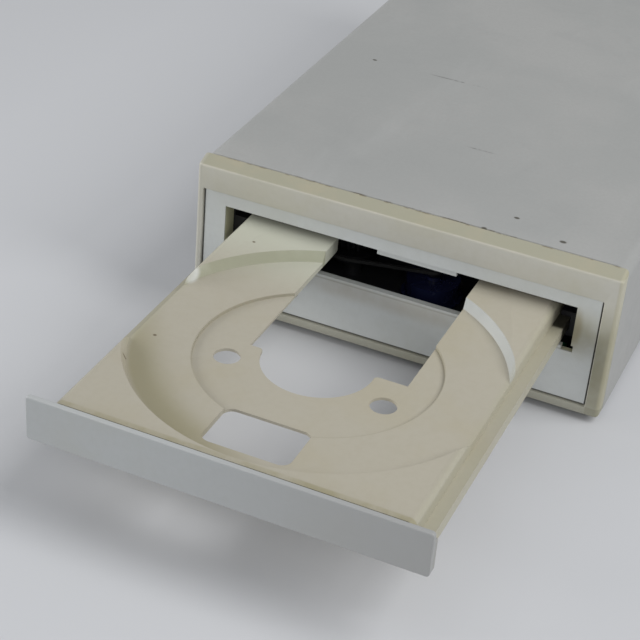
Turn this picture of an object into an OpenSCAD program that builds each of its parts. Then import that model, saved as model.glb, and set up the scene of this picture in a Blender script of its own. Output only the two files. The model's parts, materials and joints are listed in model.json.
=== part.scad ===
// External disc drive in a desktop case, with its tray run out.
// Millimetres, +Z up, front towards -Y, origin on the table under the middle of the overall length.
// Modules draw in the drive's own frame, where y = 0 is the face of the drive panel.

/* [Case] */
// Mean width of the bezel's side bars
bezel_side = 3.9; // [3.5:0.1:6]
// How far the drive sits left of the case's middle
drive_shift = 1.3; // [0:0.1:2]
// Height of the bezel's lower bar
bezel_bottom = 3.1; // [2.5:0.1:6]
// Height of the bezel's upper bar
bezel_top = 11.6; // [9:0.1:16]
// Depth of the bezel, face to seam
bezel_d = 6; // [5:0.5:9]
// How far the bezel's face stands ahead of the drive panel
bezel_lead = 1; // [0.5:0.1:2]
// Drop of the bezel's sloped top edge
bezel_slope = 2.1; // [1:0.1:4]
// Radius of the bezel's upright front edges
bezel_edge_r = 1.5; // [1:0.1:4]
// Radius of the bezel's upper corners
bezel_corner_r = 1.6; // [1:0.1:5]
// Width of the seam between the bezel and the cover
seam_gap = 0.4; // [0.2:0.1:0.8]
// Room behind the drive for the power board and the rear connectors
rear_room = 63; // [58:1:90]
// Wall of the cover, base pan and rear panel
case_wall = 1.6; // [1.2:0.1:2.6]
// Radius of the cover's long top edges
cover_edge_r = 5; // [3:0.5:6]
// Height of the rubber feet
foot_h = 2.5; // [2:0.5:6]
// Diameter of the rubber feet
foot_d = 14; // [8:1:18]

/* [Drive] */
// Width of the drive panel beside each end of the slot
panel_cheek = 8.3; // [8:0.1:12]
// Height of the drive panel
panel_h = 42; // [42:0.5:48]
// Thickness of the drive panel
panel_t = 2.4; // [2:0.1:3]
// Gap round the drive panel
panel_gap = 0.4; // [0.2:0.1:0.8]
// How far the steel shell stays inside the panel's width on each side
shell_inset = 1.5; // [1:0.1:2]
// Length of the drive's steel shell behind the panel face
shell_d = 203; // [201:1:208]
// Sheet of the drive's shell and lid
sheet = 0.9; // [0.6:0.1:1.2]
// Room between the tray's side and the end of the slot
slot_room = 7.7; // [7.3:0.1:8]
// Height of the tray slot
slot_h = 16.5; // [16:0.1:18]
// Height of the tray slot above the panel's lower edge
slot_up = 20.6; // [20:0.1:21.5]
// Diameter of the emergency pinhole
pinhole_d = 1.3; // [1:0.1:2]

/* [Tray] */
// How far the door's face stands ahead of the panel when open
tray_reach = 134.5; // [134.5:0.5:140]
// Length of tray kept inside the drive when open
tray_tail = 34; // [30:1:40]
// Width of the tray
tray_w = 117; // [116:0.5:117.5]
// Width of each side rail beyond the tray
rail_w = 4; // [4:0.1:5]
// Height of the side rails
rail_h = 4.9; // [4.5:0.1:5.2]
// Clearance between the tray rails and their guides
rail_gap = 0.3; // [0.2:0.05:0.5]
// Thickness of the tray under the large recess
tray_floor = 3; // [2.4:0.1:3.2]
// Radius of the tray's long upper edges
tray_edge_r = 2.5; // [1:0.1:3]
// Diameter of the large disc recess at its floor
disc_d = 122.8; // [121:0.2:123]
// Depth of the large disc recess
disc_deep = 3.6; // [3:0.1:3.8]
// Widening of the large recess from floor to rim
disc_flare = 1.6; // [0.5:0.1:2.5]
// Diameter of the small disc recess
small_d = 81.5; // [80.5:0.1:83]
// Depth of the small disc recess
small_deep = 1; // [0.6:0.1:1.2]
// Distance of the disc centre behind the door's face
disc_back = 69.5; // [69:0.5:72]
// Thickness of the tray door
door_t = 4.4; // [3.5:0.1:4.6]
// Gap round the door when it is shut
door_gap = 0.4; // [0.3:0.05:0.6]
// Radius of the round end of the cut-out
cut_r = 18.9; // [18:0.1:20]
// Left edge of the cut-out from the disc centre
cut_left = 23.6; // [22:0.1:25]
// Right edge of the cut-out from the disc centre
cut_right = 30; // [27:0.1:30.5]
// Where the tray's left arm ends beside the cut-out, behind the panel's face
arm_end = 8; // [7:0.5:10]
// Diameter of the two sensor holes
sense_d = 8.9; // [6:0.1:10]
// Distance between the sensor holes
sense_apart = 54.4; // [52:0.1:58]
// Width of the front window
window_w = 29.5; // [20:0.5:36]
// Length of the front window
window_l = 20; // [12:0.5:24]

/* [Loading gears] */
// Tooth size of the rack and gears (pitch over pi)
gear_m = 1; // [1:0.05:1.05]
// Teeth of the tray gear
tray_teeth = 24; // [22:2:24]
// Teeth of the pulley's pinion
pinion_teeth = 10; // [10:2:12]
// Face width of the gears
gear_t = 4.4; // [3.5:0.1:4.6]
// Diameter of the large loading pulley
pulley_d = 20; // [16:0.5:20]
// Diameter of the motor pulley
motor_pulley_d = 5; // [4.6:0.1:6]
// Diameter of the loading motor
load_motor_d = 20; // [16:0.5:20]

/* [Pickup] */
// Rise of the pickup from the tray-open position
lift_h = 5; // [4:0.1:5]
// Sideways travel of the cam slider for that rise
cam_travel = 14; // [12:0.5:15]
// Diameter of the turntable
turntable_d = 31; // [28:0.5:33]
// Diameter of the spindle motor
spindle_motor_d = 24; // [20:0.5:26]
// Diameter of the centring cone at its foot
cone_d = 14.8; // [14:0.1:14.9]
// Diameter of the guide rods
rod_d = 3; // [2.5:0.1:3.2]
// Distance between the guide rods
rod_apart = 40; // [38:0.5:41]
// Travel of the laser sled
sled_travel = 35.5; // [30:0.5:36]
// Nearest distance of the lens from the spindle axis
lens_near = 24; // [23.5:0.1:25]
// Diameter of the objective lens
lens_d = 5; // [4:0.1:6]
// Diameter of the lead screw
screw_d = 2.4; // [2:0.1:3]
// Diameter of the clamp puck
puck_d = 30; // [28:0.5:32]

/* [Front controls] */
// Width of the open button
button_w = 14; // [10:0.5:16]
// Height of the open button
button_h = 5; // [4:0.1:6]
// Travel of the open button
button_travel = 1; // [0.6:0.1:1.2]
// Diameter of the volume wheel
wheel_d = 14; // [13:0.5:14]
// Thickness of the volume wheel
wheel_t = 3; // [2:0.1:4]
// Diameter of the headphone socket's bore
jack_bore_d = 3.6; // [3.5:0.05:3.8]
// Diameter of the busy light
light_d = 3; // [2:0.1:4]

/* [Rear] */
// Width of a data port's mouth
port_w = 57; // [50:0.5:60]
// Height of a data port's mouth
port_h = 7; // [6:0.1:8]
// Length of an audio jack behind the rear panel
audio_len = 8.5; // [7:0.5:10]
// Diameter of an audio jack's outer ring
audio_d = 8.3; // [8:0.1:8.6]
// Width of the power inlet's mouth
inlet_w = 24.6; // [24:0.1:26]
// Height of the power inlet's mouth
inlet_h = 16.4; // [16:0.1:17]
// Width of the power rocker
rocker_w = 12; // [10:0.5:14]
// Height of the power rocker
rocker_h = 16; // [14:0.5:18]
// Tilt of the power rocker each way
rocker_tilt = 8; // [6:0.5:9]
// Diameter of the identity dial
dial_d = 9; // [7:0.5:10]

/* [Hidden] */
$fn = 64;

// Cutters overrun the faces they open by this much
over = 1;
// Running clearance of a shaft in its bore
run = 0.05;
// Clearance between parts that pass each other
pass = 0.3;

// Heights of the case and panel
case_z = foot_h;
panel_z = case_z + bezel_bottom + panel_gap;
panel_top = panel_z + panel_h;
case_top = panel_top + panel_gap + bezel_top;
floor_z = case_z + case_wall;
roof_z = case_top - case_wall;

// Widths, from the tray outwards
slot_w = tray_w + 2 * slot_room;
panel_w = slot_w + 2 * panel_cheek;
shell_w = panel_w - 2 * shell_inset;
case_w = panel_w + 2 * (panel_gap + bezel_side);

// Plan of the case
bezel_back = bezel_d - bezel_lead;
cover_front = bezel_back + seam_gap;
case_back = shell_d + rear_room;
cover_in = case_w / 2 - case_wall;
pan_half = cover_in - 0.2;
rear_in = case_back - case_wall;

// Middle of the overall length, door face to audio jack tip
rear_reach = case_back + audio_len;
panel_y = -(rear_reach - tray_reach) / 2;

// Heights in the tray stack
slot_z = panel_z + slot_up;
slot_top = slot_z + slot_h;
rail_z = slot_z + 2;
rail_top = rail_z + rail_h;
tray_z = rail_top + 0.5;
disc_z = tray_z + tray_floor;
small_z = disc_z - small_deep;
rim_z = disc_z + disc_deep;

// Foot of the door's upper lip
lip_z = slot_top - 4.4;

// Plan of the tray
door_back = door_t - tray_reach;
disc_y = disc_back - tray_reach;
rail_x = tray_w / 2 + rail_w;
rail_in = tray_w / 2 - 3;
rail_front = door_back + 4;

// Steel shell and its lid
shell_x = shell_w / 2;
shell_z = panel_z + 0.4;
shell_floor = shell_z + sheet;
lid_z = panel_top - 0.8 - sheet;

// Loading frame
frame_floor = panel_z + 9;
frame_t = 2;
frame_front = 16;
frame_back = shell_d - 13;
guide_front = 7.8;
guide_in = tray_w / 2 + 0.8;
guide_low = rail_z - rail_gap - 2;
groove_x = rail_x + rail_gap;
wall_in = groove_x + 3;
wall_x = shell_x - sheet - 2;
leg_w = 5;

// Gears lie under the tray, the tray gear in mesh with the rack and with the pinion
gear_z = tray_z - 0.6 - gear_t;
rack_x = -rail_in;
rack_depth = 2.1 * gear_m;
tray_gear_r = tray_teeth * gear_m / 2;
pinion_r = pinion_teeth * gear_m / 2;
gear_x = rack_x + rack_depth - 0.9 * gear_m + tray_gear_r;
gear_y = 26;
pinion_x = gear_x + tray_gear_r + pinion_r;
motor_x = pinion_x + 32;
post_r = 1.5;
post_top = tray_z - 0.3;
pulley_z = frame_floor + 9;
pulley_t = 3;
belt_w = 1.2;

// Pickup heights with the lift down
seat_z = disc_z + 1.2 - lift_h;
base_z = tray_z - 15;
base_t = 2;
base_top = base_z + base_t;
rod_r = rod_d / 2;
rod_z = base_top + 3;
screw_r = screw_d / 2;
screw_z = base_top + 2.6;
sled_z = base_top + 1.2;
sled_top = base_top + 7;
lens_top = seat_z - 1.8;
turntable_t = 2;
spindle_r = 1;
cone_h = 3;

// Pickup plan, the spindle under the shut tray's disc centre
spindle_y = disc_back;
base_front = spindle_y - 25.5;
lens_y = spindle_y + lens_near;
sled_front = lens_y - 5;
sled_back = lens_y + 17;
sled_x = rod_apart / 2 + 3;
rod_front = sled_front - 4.5;
rod_back = sled_back + sled_travel + 4.5;
block_l = 4;
base_back = rod_back + 4;
screw_x = rod_apart / 2 + 8;
base_left = -(rod_apart / 2 + 16);
base_right = rod_apart / 2 + 22;
guide_post_r = 2;
guide_y = base_back - 14;
guide_xs = [base_left + 6, base_right - 5.5];

// Cam slider ahead of the pickup base
cam_y = base_front - 5.2;
cam_t = 2;
cam_pin_r = 1.4;
cam_pin_z = base_z + base_t / 2;
cam_pin_x = 20;
cam_left = -cam_pin_x - cam_travel - 3.5;
cam_right = cam_pin_x + 10;
cam_low = frame_floor + pass;
cam_top = cam_pin_z + lift_h + cam_pin_r + 1.6;

// Clamp over the disc
puck_z = disc_z + 1.2 + 1.2 + 0.8;
puck_r = puck_d / 2;
puck_low_t = 2.4;
bridge_z = puck_z + puck_low_t + pass;
bridge_t = 1.6;
neck_r = puck_r - 2.6;
puck_cap_z = bridge_z + bridge_t + pass;

// Main board
main_half = shell_x - 13;
main_l = shell_d - 4 - base_front;
main_top = shell_floor + 2.8;

// Front controls on the lower panel
control_z = panel_z + 10;
pinhole_x = -36.2;
jack_x = -58;
wheel_x = -45;
wheel_y = wheel_d / 2 - 1.7;
button_x = 46;
light_x = 33;
board_y = 12.6;
board_t = 1.6;
board_left = -64;
board_right = 62;
board_posts = [-24, 58];

// Power board against the right side of the base pan
psu_w = 70;
psu_right = pan_half - 5;
psu_left = psu_right - psu_w;
psu_front = shell_d + 6;
psu_back = rear_in - 4;
psu_z = floor_z + 4;

// Rear connectors: ports from the left side, inlet and switch over the power board, audio between them
port_x = 47 - pan_half;
port_flange = port_w + 14;
port_zs = [case_z + case_h() * 0.32, case_z + case_h() * 0.68];
port_board_y = rear_in - 16;
inlet_x = psu_right - 21;
inlet_flange = inlet_w + 7;
inlet_z = case_z + 19;
rocker_z = case_z + 44;
rocker_y = case_back - 3.5;
rocker_pin_r = 1;
audio_x = (port_x + port_flange / 2 + inlet_x - inlet_flange / 2) / 2;
audio_zs = [case_z + 15, case_z + 30];
dial_z = case_z + 46;

function case_h() = case_top - case_z;

// A block between two corners
module block(low, high) {
    translate(low) cube(high - low);
}

// Upright and lying rods given by their axis, radius and ends
module rod_up(x, y, r, low, high) {
    translate([x, y, low]) cylinder(r = r, h = high - low);
}

module rod_along(x, z, r, front, back) {
    translate([x, front, z]) rotate([-90, 0, 0]) cylinder(r = r, h = back - front);
}

module rod_across(y, z, r, left, right) {
    translate([left, y, z]) rotate([0, 90, 0]) cylinder(r = r, h = right - left);
}

// The same shape on the left and on the right
module both_sides() {
    children();
    mirror([1, 0, 0]) children();
}

// A flat rectangle with round corners
module round_rect(w, h, r) {
    square([w - 2 * r, h], center = true);
    square([w, h - 2 * r], center = true);
    for (x = [-1, 1], y = [-1, 1]) translate([x * (w / 2 - r), y * (h / 2 - r)]) circle(r);
}

// An upright plate with round corners, standing across the drive
module plate_across(x, z, w, h, r, front, back) {
    translate([x, back, z]) rotate([90, 0, 0]) linear_extrude(back - front) round_rect(w, h, r);
}

// Outline of the case seen from the front with upper corners of radius edge_r, drawn in by inset
module case_outline(inset, edge_r) {
    half = case_w / 2 - inset;
    top = case_top - inset;
    r = edge_r - inset;
    translate([-half, case_z]) square([2 * half, top - case_z - r]);
    translate([-half + r, case_z]) square([2 * (half - r), top - case_z]);
    for (s = [-1, 1]) translate([s * (half - r), top - r]) circle(r);
}

// A plate of that outline standing across the case
module case_plate(inset, front, back, edge_r = cover_edge_r) {
    translate([0, back, 0]) rotate([90, 0, 0]) linear_extrude(back - front) case_outline(inset, edge_r);
}

// What a round of radius r takes off an upright corner at the origin, with the solid towards -x and -y
module corner_round(r, h) {
    difference() {
        translate([-r, -r, 0]) cube([r + 0.5, r + 0.5, h]);
        translate([-r, -r, -over]) cylinder(r = r, h = h + 2 * over);
    }
}

// Moves what belongs to the drive to the drive's place in the case
module to_drive() {
    translate([-drive_shift, 0, 0]) children();
}

// Spur gear outline with straight flanks and backlash
function tooth_points(teeth, m) = [
    for (i = [0:teeth - 1])
        for (p = [[-0.33, -1.1], [-0.12, 0.75], [0.12, 0.75], [0.33, -1.1]])
            let (r = teeth * m / 2 + p[1] * m, a = (i + p[0]) * 360 / teeth)
                [r * cos(a), r * sin(a)]
];

module spur_gear(teeth, m, t, phase) {
    rotate([0, 0, phase]) linear_extrude(t) polygon(tooth_points(teeth, m));
}

// Straight rack with teeth towards +X, a gap centred on y = 0
module rack(length_back, length_front, m, t) {
    pitch = PI * m;
    first = -floor(length_front / pitch);
    last = floor(length_back / pitch) - 1;
    for (i = [first:last]) translate([0, (i + 0.5) * pitch, 0]) linear_extrude(t)
        polygon([[-0.4, -0.33 * pitch], [0.35 * m, -0.3 * pitch], [1.65 * m, -0.1 * pitch],
            [1.65 * m, 0.1 * pitch], [0.35 * m, 0.3 * pitch], [-0.4, 0.33 * pitch]]);
}

// Flat band of width w round two circles lying along +X: two arcs and two straight runs
module band(big_r, small_r, apart, w, t) {
    a = acos((big_r - small_r) / apart);
    run_l = sqrt(apart * apart - pow(big_r - small_r, 2));
    rotate([0, 0, a]) rotate_extrude(angle = 360 - 2 * a) translate([big_r, 0]) square([w, t]);
    translate([apart, 0, 0]) rotate([0, 0, -a]) rotate_extrude(angle = 2 * a)
        translate([small_r, 0]) square([w, t]);
    for (s = [0, 1]) mirror([0, s, 0]) rotate([0, 0, a]) translate([big_r, -run_l, 0]) cube([w, run_l, t]);
}

screw_xs = [-case_w / 2 + 8, case_w / 2 - 8];
screw_zs = [floor_z + 5, roof_z - 5];
screw_head_r = 3;
screw_shank_r = 1.45;
drive_screw_x = shell_x - 10;
drive_screw_ys = [60, 160];

// Grey cover: roof and two sides with rounded long edges
module top_cover() {
    color([0.62, 0.62, 0.61]) {
        difference() {
            case_plate(0, cover_front, case_back);
            case_plate(case_wall, cover_front - over, case_back + over);
            block([-cover_in, cover_front - over, case_z - over],
                [cover_in, case_back + over, case_z + over]);
        }
        for (x = screw_xs) difference() {
            block([x - 5, rear_in - 2, screw_zs[1] - 5], [x + 5, rear_in, roof_z]);
            rod_along(x, screw_zs[1], screw_shank_r + run, rear_in - 2 - over, rear_in + over);
        }
    }
}

// Base pan: floor, low side lips, drive rails, stand-offs and rear tabs
module base_pan() {
    color([0.55, 0.55, 0.54]) difference() {
        union() {
            block([-pan_half, cover_front, case_z], [pan_half, rear_in, floor_z]);
            both_sides() block([pan_half - 1.5, cover_front, floor_z - 0.5],
                [pan_half, rear_in, floor_z + 8]);
            to_drive() both_sides()
                block([shell_x - 14, 12, floor_z - 0.5], [shell_x - 6, shell_d - 4, shell_z]);
            for (x = screw_xs) block([x - 5, rear_in - 2, floor_z - 0.5], [x + 5, rear_in, screw_zs[0] + 5]);
            for (x = [psu_left + 4, psu_right - 4], y = [psu_front + 4, psu_back - 4])
                rod_up(x, y, 3, floor_z - 0.5, psu_z);
        }
        for (x = screw_xs) rod_along(x, screw_zs[0], screw_shank_r + run, rear_in - 2 - over, rear_in + over);
        to_drive() for (x = [-drive_screw_x, drive_screw_x], y = drive_screw_ys) {
            rod_up(x, y, screw_shank_r + run, case_z - over, shell_z + over);
            rod_up(x, y, screw_head_r + 0.2, case_z - over, case_z + 1.6);
        }
    }
}

// Cream bezel: a frame round the drive panel with a sloped top edge and round upright edges
module front_bezel() {
    front = -bezel_lead;
    color([0.74, 0.71, 0.6]) {
        difference() {
            intersection() {
                case_plate(0, front, bezel_back, bezel_corner_r);
                translate([-case_w / 2, 0, 0]) rotate([90, 0, 90]) linear_extrude(case_w)
                    polygon([[front, case_z], [bezel_back, case_z], [bezel_back, case_top],
                        [front, case_top - bezel_slope]]);
                translate([0, 0, case_z - over]) linear_extrude(case_h() + 2 * over) union() {
                    translate([-case_w / 2, front + bezel_edge_r]) square([case_w, bezel_d - bezel_edge_r]);
                    translate([-case_w / 2 + bezel_edge_r, front]) square([case_w - 2 * bezel_edge_r, bezel_d]);
                    for (s = [-1, 1]) translate([s * (case_w / 2 - bezel_edge_r), front + bezel_edge_r])
                        circle(bezel_edge_r);
                }
            }
            to_drive() block([-panel_w / 2 - panel_gap, front - over, panel_z - panel_gap],
                [panel_w / 2 + panel_gap, bezel_back + over, panel_top + panel_gap]);
        }
        for (x = [-50, 50]) {
            block([x - 9, bezel_back - 1, roof_z - 1.8], [x + 9, bezel_back + 9, roof_z - 0.2]);
            block([x - 9, bezel_back - 1, panel_top + panel_gap], [x + 9, bezel_back, roof_z - 0.2]);
        }
        both_sides() block([30, bezel_back - 1, case_z + 0.5], [48, cover_front - 0.1, panel_z - panel_gap]);
    }
}

// Rear panel with the cut-outs for its connectors
module rear_panel() {
    color([0.55, 0.55, 0.54]) difference() {
        case_plate(case_wall + 0.2, rear_in, case_back);
        for (x = screw_xs, z = screw_zs)
            rod_along(x, z, screw_shank_r + run, rear_in - over, case_back + over);
        for (z = port_zs)
            plate_across(port_x, z, port_w + 7, port_h + 5, 1.5, rear_in - over, case_back + over);
        for (z = audio_zs) rod_along(audio_x, z, audio_d / 2 + 0.2, rear_in - over, case_back + over);
        rod_along(audio_x, dial_z, dial_d / 2 + pass, rear_in - over, case_back + over);
        plate_across(inlet_x, inlet_z, inlet_w + 3.4, inlet_h + 3.4, 2, rear_in - over, case_back + over);
        plate_across(inlet_x, rocker_z, rocker_w + 6.4, rocker_h + 4.4, 1, rear_in - over, case_back + over);
    }
}

// Four rubber feet
module feet() {
    color([0.16, 0.16, 0.16]) for (x = [-1, 1], y = [28, case_back - 32])
        translate([x * (case_w / 2 - 16), y, 0]) union() {
            cylinder(d = foot_d, h = foot_h - 1);
            translate([0, 0, foot_h - 1]) cylinder(d = foot_d + 2, h = 1);
        }
}

// Screw with a domed cross-slot head, standing on z = 0, shank downwards
module screw(head_r, head_h, shank_r, shank_l) {
    difference() {
        cylinder(r = head_r, h = head_h);
        for (a = [0, 90]) rotate([0, 0, a])
            translate([-head_r * 0.6, -0.35, head_h - 0.8]) cube([head_r * 1.2, 0.7, 0.8 + over]);
    }
    translate([0, 0, -shank_l]) cylinder(r = shank_r, h = shank_l + 0.2);
}

// Screws that hold the rear panel to the cover and base pan
module case_screws() {
    color([0.7, 0.7, 0.72]) for (x = screw_xs, z = screw_zs)
        translate([x, case_back, z]) rotate([-90, 0, 0]) screw(screw_head_r, 1.7, screw_shank_r, case_wall + 4);
}

// Screws that hold the drive on the base pan's rails
module drive_screws() {
    color([0.7, 0.7, 0.72]) for (x = [-drive_screw_x, drive_screw_x], y = drive_screw_ys)
        translate([x, y, case_z + 1.6]) rotate([180, 0, 0])
            screw(screw_head_r, 1.4, screw_shank_r, shell_floor + 1.2 - case_z - 1.6);
}

// Light drive panel with the tray slot and the control openings
module front_panel() {
    tab_x = [-7.8, 22];
    color([0.8, 0.81, 0.81]) {
        difference() {
            union() {
                block([-panel_w / 2, 0, panel_z], [panel_w / 2, panel_t, panel_top]);
                both_sides() {
                    block([slot_w / 2, panel_t - 0.5, slot_z],
                        [slot_w / 2 + 1.6, guide_front - 0.4, slot_top + 1.4]);
                    block([shell_x - sheet - 1.4, panel_t - 0.5, panel_z + 6],
                        [shell_x - sheet - 0.2, 15, slot_z - 4]);
                }
                for (x = board_posts) rod_along(x, control_z, 2.2, panel_t - 0.5, board_y);
            }
            block([-slot_w / 2, -over, slot_z], [slot_w / 2, panel_t + over, slot_top]);
            both_sides() block([slot_w / 2 - 3.4, -over, slot_z - 1.5],
                [slot_w / 2 + 0.8, panel_t + over, slot_z + 1]);
            rod_along(pinhole_x, panel_z + 8.9, pinhole_d / 2, -over, panel_t + over);
            rod_along(jack_x, control_z, 4 + 0.1, -over, panel_t + over);
            rod_along(light_x, control_z, light_d / 2 + 0.1, -over, panel_t + over);
            plate_across(button_x, control_z, button_w + 0.6, button_h + 0.6, 1, -over, panel_t + over);
            plate_across(wheel_x, control_z, wheel_d, wheel_t + 0.8, 0.6, -over, panel_t + over);
        }
        block([tab_x[0], panel_t - 0.5, slot_top], [tab_x[1], door_t - 0.4, slot_top + 1.4]);
        block([tab_x[0], panel_t, lip_z + 1.3], [tab_x[1], door_t - 0.4, slot_top + 0.5]);
    }
}

// Steel shell of the drive: floor, sides and a low rear wall
module drive_shell() {
    color([0.66, 0.67, 0.68]) difference() {
        union() {
            block([-shell_x, panel_t, shell_z], [shell_x, shell_d, shell_floor]);
            both_sides() block([shell_x - sheet, panel_t, shell_z], [shell_x, shell_d, lid_z]);
            block([-shell_x, shell_d - sheet, shell_z], [shell_x, shell_d, lid_z]);
            for (x = [-56, 56], y = [50, shell_d - 12]) rod_up(x, y, 3, shell_floor - 0.3, shell_floor + 1.2);
        }
        for (x = [-drive_screw_x, drive_screw_x], y = drive_screw_ys)
            rod_up(x, y, screw_shank_r + run, shell_z - over, shell_floor + over);
        block([-56, shell_d - sheet - over, shell_floor + 2], [10, shell_d + over, shell_floor + 14]);
    }
}

// Steel lid of the drive
module drive_lid() {
    color([0.66, 0.67, 0.68]) difference() {
        block([-shell_x, panel_t, lid_z], [shell_x, shell_d, lid_z + sheet]);
        rod_up(0, spindle_y, neck_r - 2, lid_z - over, lid_z + sheet + over);
    }
}

// Dark loading frame: floor, guide rails for the tray, gear posts, lift posts and slider ribs
module loader_frame() {
    floor_low = frame_floor - frame_t;
    color([0.1, 0.1, 0.11]) difference() {
        union() {
            block([-wall_x, frame_front, floor_low], [wall_x, frame_back, frame_floor]);
            both_sides() {
                block([wall_in, frame_front, floor_low], [wall_x, frame_back, bridge_z]);
                block([wall_in, guide_front, guide_low], [wall_x, frame_front + 1, bridge_z]);
                difference() {
                    block([guide_in, guide_front, guide_low],
                        [wall_in + 0.5, frame_back, rail_top + rail_gap + 2]);
                    block([guide_in - over, guide_front - over, rail_z - rail_gap],
                        [groove_x, frame_back - 4, rail_top + rail_gap]);
                }
                for (y = [frame_front + 2, frame_back - leg_w - 2])
                    block([wall_x - leg_w, y, shell_floor], [wall_x, y + leg_w, frame_floor]);
            }
            block([-wall_x, frame_back - 3, floor_low], [wall_x, frame_back, rail_z - 2]);
            for (x = guide_xs) rod_up(x, guide_y, guide_post_r, frame_floor - 0.5, tray_z - 0.6);
            rod_up(gear_x, gear_y, post_r, frame_floor - 0.5, post_top);
            rod_up(gear_x, gear_y, post_r + 1.8, frame_floor - 0.5, gear_z - 0.2);
            rod_up(pinion_x, gear_y, post_r, frame_floor - 0.5, post_top);
            rod_up(pinion_x, gear_y, post_r + 1.8, frame_floor - 0.5, pulley_z - 0.2);
            for (y = [cam_y - pass - 0.8, cam_y + cam_t + pass])
                block([cam_left, y, frame_floor - 0.5], [cam_right + cam_travel, y + 0.8, frame_floor + 3]);
        }
        rod_up(motor_x, gear_y, load_motor_d / 2 + 0.1, floor_low - over, frame_floor + over);
    }
}

// Cream tray: recesses for large and small discs, cut-out open to the rear, holes, window, rails and rack
module tray() {
    step_l = -1.4;
    step_r = 2.6;
    nub_r = 1.5;
    nub_h = rim_z - tray_z + 2 * over;
    arm_r = 4;
    arm_in = cut_left + 14;
    window_back = disc_y - 35.5;
    color([0.8, 0.77, 0.68]) {
        difference() {
            block([-tray_w / 2, door_back, tray_z], [tray_w / 2, tray_tail, rim_z]);
            translate([0, disc_y, disc_z])
                cylinder(r1 = disc_d / 2, r2 = disc_d / 2 + disc_flare, h = disc_deep);
            rod_up(0, disc_y, disc_d / 2 + disc_flare, rim_z - 0.001, rim_z + over);
            rod_up(0, disc_y, small_d / 2, small_z, rim_z);
            rod_up(0, disc_y, cut_r, tray_z - over, rim_z);
            block([-cut_left, disc_y + step_l, tray_z - over], [0, tray_tail + over, rim_z + over]);
            block([-over, disc_y + step_r, tray_z - over], [cut_right, tray_tail + over, rim_z + over]);
            translate([-sqrt(pow(cut_r, 2) - pow(step_l - nub_r, 2)), disc_y + step_l, tray_z - over])
                corner_round(nub_r, nub_h);
            translate([sqrt(pow(cut_r, 2) - pow(step_r - nub_r, 2)), disc_y + step_r, tray_z - over])
                mirror([1, 0, 0]) corner_round(nub_r, nub_h);
            block([-arm_in, arm_end, tray_z - over], [over - cut_left, tray_tail + over, rim_z + over]);
            translate([-cut_left, arm_end, tray_z - over]) corner_round(arm_r, nub_h);
            for (s = [-1, 1]) rod_up(s * sense_apart / 2, disc_y - 11, sense_d / 2, tray_z - over, rim_z);
            translate([0, window_back - window_l / 2, tray_z - over]) linear_extrude(rim_z - tray_z)
                round_rect(window_w, window_l, 3.5);
            block([4 - rail_in, door_back + 8.6, tray_z - over], [rail_in - 4, tray_tail - 2, small_z - 1]);
            both_sides() translate([tray_w / 2, door_back - over, rim_z]) mirror([0, 1, 0]) rotate([90, 0, 0])
                corner_round(tray_edge_r, tray_tail - door_back + 2 * over);
        }
        both_sides() difference() {
            block([rail_in, rail_front, rail_z], [tray_w / 2, tray_tail, tray_z + 0.5]);
            block([rail_in - over, tray_tail - 6, rail_z - over],
                [rail_in + 1, tray_tail + over, tray_z - 1]);
        }
        both_sides() block([tray_w / 2 - 0.5, rail_front, rail_z], [rail_x, tray_tail, rail_top]);
        translate([rack_x, gear_y, gear_z - 0.2])
            rack(tray_tail - 6 - gear_y, gear_y - rail_front, gear_m, gear_t + 0.4);
    }
}

// Grey door on the front of the tray, with a thin upper lip and two tongues under the tray
module tray_door() {
    door_w = slot_w - 2 * door_gap;
    door_h = slot_h - 2 * door_gap;
    color([0.64, 0.65, 0.65]) {
        difference() {
            plate_across(0, slot_z + slot_h / 2, door_w, door_h, 1.2, -tray_reach, door_back);
            block([-door_w / 2 - over, panel_t - 0.4 - tray_reach, lip_z],
                [door_w / 2 + over, door_back + over, slot_top]);
        }
        for (x = [-34, 34]) block([x - 7, door_back - 0.5, tray_z - 2], [x + 7, door_back + 8, tray_z]);
    }
}

// Loading motor standing in the frame floor
module loading_motor() {
    color([0.7, 0.7, 0.71]) difference() {
        union() {
            rod_up(motor_x, gear_y, load_motor_d / 2, shell_floor + 1, pulley_z - 1.6);
            rod_up(motor_x, gear_y, load_motor_d / 2 + 1.5, frame_floor, frame_floor + 1);
            rod_up(motor_x, gear_y, 3, pulley_z - 1.8, pulley_z - 0.4);
        }
        rod_up(motor_x, gear_y, spindle_r + run, pulley_z - 6, pulley_z);
    }
}

// Pulley outline with a belt groove, spun about the upright axis
module grooved_pulley(r, t) {
    groove = belt_w / 2 + 0.3;
    rotate_extrude() polygon([[0, 0], [r, 0], [r, t / 2 - groove], [r - belt_w, t / 2 - groove],
        [r - belt_w, t / 2 + groove], [r, t / 2 + groove], [r, t], [0, t]]);
}

module motor_pulley() {
    color([0.85, 0.85, 0.82]) translate([motor_x, gear_y, pulley_z]) {
        grooved_pulley(motor_pulley_d / 2, pulley_t);
        translate([0, 0, -5]) cylinder(r = spindle_r, h = 5.2);
    }
}

// Rubber belt between the pulleys
module loading_belt() {
    big = pulley_d / 2 - belt_w + pass;
    small = motor_pulley_d / 2 - belt_w + pass;
    apart = motor_x - pinion_x;
    color([0.08, 0.08, 0.08]) translate([pinion_x, gear_y, pulley_z + pulley_t / 2 - belt_w / 2])
        band(big, small, apart, belt_w, belt_w);
}

// Large pulley with the pinion that drives the tray gear
module loading_pulley() {
    color([0.85, 0.85, 0.82]) translate([pinion_x, gear_y, pulley_z]) difference() {
        union() {
            grooved_pulley(pulley_d / 2, pulley_t);
            spur_gear(pinion_teeth, gear_m, gear_z + gear_t - pulley_z, 180 / pinion_teeth);
        }
        translate([0, 0, -over]) cylinder(r = post_r + run, h = 30);
    }
}

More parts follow.
